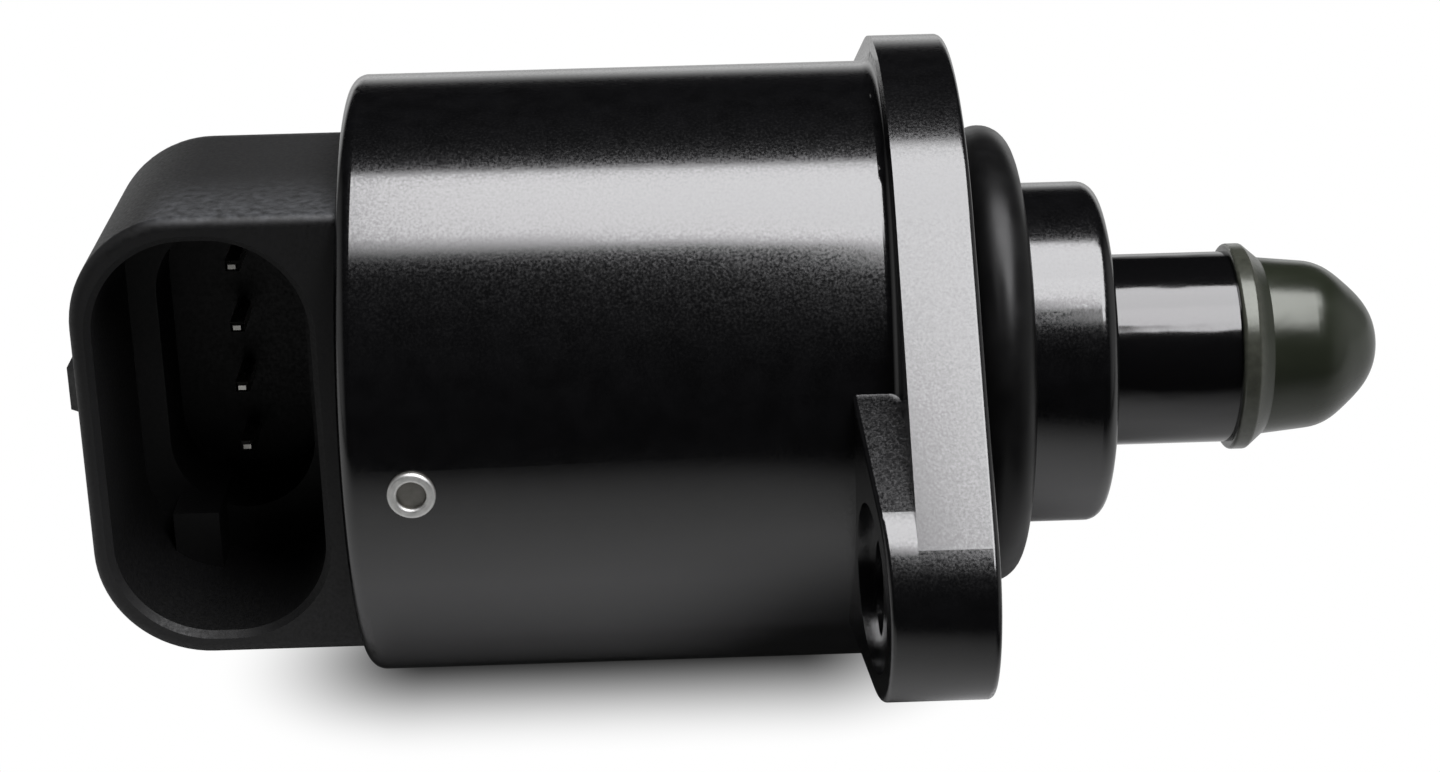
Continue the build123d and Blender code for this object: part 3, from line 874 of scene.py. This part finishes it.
def hang_softboxes(stage):
    """The softbox over the valve, and in front of it the side softbox in strips.

    Each strip starts further along than the one behind it. The first few go on over the body as dimmer
    softboxes, so that the highlight on the body fades out softly.
    """
    softbox("softbox", stage.key_place, stage.key_size, stage.key_radiance)
    key_x, key_y, height = stage.key_place
    length, depth = stage.key_size
    key_start = key_x - length / 2
    key_end = key_x + length / 2
    edge = key_y - depth / 2
    rows = itertools.zip_longest(stage.side_starts, stage.side_strips, stage.edge_shares, fillvalue=0)
    for start, width, share in rows:
        strip("side_softbox", start, key_end, edge, width, height, stage.side_radiance)
        if share:
            strip("soft_edge", key_start, start, edge, width, height, stage.key_radiance * share)
        edge -= width


def mirrored_ray(tree, path):
    """1 for a ray that comes from a gloss or through glass."""
    return math_node(tree, "MAXIMUM", path.outputs["Is Glossy Ray"], path.outputs["Is Transmission Ray"])


def beside_body(tree, parts):
    """Distance on the floor from the line under the body."""
    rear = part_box("body_housing")[0][0] + SHADOW_INSET
    front = -SHADOW_FRONT
    from_middle = math_node(tree, "SUBTRACT", parts.outputs["X"], (rear + front) / 2)
    along = math_node(tree, "ABSOLUTE", from_middle)
    past_end = math_node(tree, "MAXIMUM", math_node(tree, "SUBTRACT", along, (front - rear) / 2))
    squares = math_node(
        tree, "ADD",
        math_node(tree, "MULTIPLY", past_end, past_end),
        math_node(tree, "MULTIPLY", parts.outputs["Y"], parts.outputs["Y"]),
    )
    return math_node(tree, "SQRT", squares)


def floor_slant():
    """Where the slant of the floor's front edge starts and ends along the valve."""
    nose_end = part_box("body_housing")[1][0]
    return -nose_end, 2 * nose_end


def gloss_fade(tree, parts, stage):
    """The floor's white in a gloss, which fades towards the floor's front edge."""
    slant_start, slant_end = floor_slant()
    edge = spread(
        tree, parts.outputs["X"], -stage.floor_front, -stage.floor_nose_front, slant_start, slant_end,
    )
    way_out = math_node(tree, "DIVIDE", parts.outputs["Y"], edge)
    fade = math_node(tree, "SUBTRACT", 1.0, ease(tree, way_out, FADE_START, 1.0))
    return math_node(tree, "MULTIPLY", fade, FLOOR_GLOSS)


def floor_material(stage):
    """Floor that shows its own shading under the body, and plain white further out."""
    material = bpy.data.materials.new("floor_white")
    material.use_nodes = True
    tree = material.node_tree
    tree.nodes.clear()
    place = tree.nodes.new("ShaderNodeTexCoord")
    parts = tree.nodes.new("ShaderNodeSeparateXYZ")
    tree.links.new(place.outputs["Object"], parts.inputs["Vector"])
    path = tree.nodes.new("ShaderNodeLightPath")
    camera_ray = path.outputs["Is Camera Ray"]
    distance = beside_body(tree, parts)
    outside = ease(tree, distance, 0.0, SHADOW_REACH)
    far_outside = ease(tree, distance, SHADOW_REACH, GLOSS_SHADOW_REACH)
    seen = math_node(tree, "MULTIPLY", outside, camera_ray)
    mirrored = math_node(tree, "MULTIPLY", far_outside, mirrored_ray(tree, path))
    matte = tree.nodes.new("ShaderNodeBsdfDiffuse")
    matte.inputs["Color"].default_value = (FLOOR_GREY, FLOOR_GREY, FLOOR_GREY, 1.0)
    white = tree.nodes.new("ShaderNodeEmission")
    strength = math_node(tree, "MAXIMUM", gloss_fade(tree, parts, stage), camera_ray)
    tree.links.new(strength, white.inputs["Strength"])
    mix = tree.nodes.new("ShaderNodeMixShader")
    tree.links.new(math_node(tree, "MAXIMUM", seen, mirrored), mix.inputs["Fac"])
    tree.links.new(matte.outputs["BSDF"], mix.inputs[1])
    tree.links.new(white.outputs["Emission"], mix.inputs[2])
    output = tree.nodes.new("ShaderNodeOutputMaterial")
    tree.links.new(mix.outputs["Shader"], output.inputs["Surface"])
    return material


def lay_floor(stage):
    """A floor under the valve, cut back in front of the nose."""
    slant_start, slant_end = floor_slant()
    level = CAD_BOX[0][2]
    outline = [
        (-FLOOR_HALF_WIDTH, -stage.floor_front),
        (slant_start, -stage.floor_front),
        (slant_end, -stage.floor_nose_front),
        (FLOOR_HALF_WIDTH, -stage.floor_nose_front),
        (FLOOR_HALF_WIDTH, FLOOR_BACK),
        (-FLOOR_HALF_WIDTH, FLOOR_BACK),
    ]
    floor_mesh = bpy.data.meshes.new("floor")
    floor_mesh.from_pydata([(*point, level) for point in outline], [], [range(len(outline))])
    floor = new_piece("floor", floor_mesh, floor_material(stage))


def white_world(ambient):
    """White to the camera, a backdrop and grey end walls for a gloss, and dim light on matte surfaces."""
    world = bpy.data.worlds.new("studio")
    world.use_nodes = True
    tree = world.node_tree
    tree.nodes.clear()
    path = tree.nodes.new("ShaderNodeLightPath")
    direction = tree.nodes.new("ShaderNodeTexCoord")
    parts = tree.nodes.new("ShaderNodeSeparateXYZ")
    tree.links.new(direction.outputs["Generated"], parts.inputs["Vector"])
    endways = math_node(tree, "ABSOLUTE", parts.outputs["X"])
    walls = spread(tree, endways, 0.0, WALL_SHARE, *WALL_RANGE)
    behind = spread(tree, parts.outputs["Y"], 0.0, 1.0, *BACKDROP_RANGE)
    low = spread(tree, parts.outputs["Z"], 0.0, 1.0, *BACKDROP_TOP)
    backdrop = math_node(tree, "MAXIMUM", math_node(tree, "MULTIPLY", behind, low), walls)
    seen = math_node(tree, "MULTIPLY", backdrop, mirrored_ray(tree, path))
    white = math_node(tree, "MAXIMUM", seen, path.outputs["Is Camera Ray"])
    room = math_node(tree, "MULTIPLY", path.outputs["Is Diffuse Ray"], ambient)
    background = tree.nodes.new("ShaderNodeBackground")
    background.inputs["Color"].default_value = (1, 1, 1, 1)
    tree.links.new(math_node(tree, "MAXIMUM", white, room), background.inputs["Strength"])
    output = tree.nodes.new("ShaderNodeOutputWorld")
    tree.links.new(background.outputs["Background"], output.inputs["Surface"])
    return world


def place_camera(scene, stage):
    """The camera at the stage's place, aim and roll."""
    camera = bpy.data.cameras.new("camera")
    camera.lens = stage.lens
    camera.sensor_width = SENSOR_WIDTH
    camera.clip_start = NEAR_LIMIT
    holder = bpy.data.objects.new("camera", camera)
    sight = Vector(stage.camera_aim) - Vector(stage.camera_place)
    turn = sight.to_track_quat("-Z", "Y") @ Quaternion((0, 0, 1), stage.camera_roll)
    holder.matrix_world = Matrix.LocRotScale(Vector(stage.camera_place), turn, None)
    scene.collection.objects.link(holder)
    scene.camera = holder


class VALVE_OT_stage(bpy.types.Operator):
    """Set the floor, softboxes, room and camera"""

    bl_idname = "valve.stage"
    bl_label = "Stage"

    def execute(self, context):
        scene = context.scene
        stage = scene.valve_stage
        lay_floor(stage)
        hang_softboxes(stage)
        scene.world = white_world(stage.ambient)
        place_camera(scene, stage)
        scene.view_settings.view_transform = "Standard"
        return {"FINISHED"}


class VALVE_PT_pieces(bpy.types.Panel):
    """The valve's pieces and stage, in the order that they are made"""

    bl_idname = "VALVE_PT_pieces"
    bl_label = "Valve"
    bl_space_type = "VIEW_3D"
    bl_region_type = "UI"
    bl_category = "Valve"

    def draw(self, context):
        scene = context.scene
        for operator in OPERATORS:
            self.layout.operator(operator.bl_idname)
        for settings in (scene.valve_finish, scene.valve_pieces, scene.valve_stage):
            box = self.layout.box()
            for label in settings.__annotations__:
                box.prop(settings, label)


SETTINGS = {
    "valve_finish": ValveFinishSettings,
    "valve_pieces": ValvePieceSettings,
    "valve_stage": ValveStageSettings,
}
OPERATORS = [
    VALVE_OT_cast_body,
    VALVE_OT_connector,
    VALVE_OT_pintle,
    VALVE_OT_seals,
    VALVE_OT_metalwork,
    VALVE_OT_motor,
    VALVE_OT_windings,
    VALVE_OT_stage,
]
CLASSES = [*SETTINGS.values(), *OPERATORS, VALVE_PT_pieces]


def register():
    """Register the classes, and give the scene its settings."""
    for item in CLASSES:
        bpy.utils.register_class(item)
    for name, settings in SETTINGS.items():
        setattr(bpy.types.Scene, name, bpy.props.PointerProperty(type=settings))


def unregister():
    """Take the settings and classes away again."""
    for name in SETTINGS:
        delattr(bpy.types.Scene, name)
    for item in reversed(CLASSES):
        bpy.utils.unregister_class(item)


def main():
    """Make the valve's pieces and the stage."""
    register()
    bpy.ops.valve.cast_body()
    bpy.ops.valve.connector()
    bpy.ops.valve.pintle()
    bpy.ops.valve.seals()
    bpy.ops.valve.metalwork()
    bpy.ops.valve.motor()
    bpy.ops.valve.windings()
    bpy.ops.valve.stage()


if __name__ == "__main__":
    main()
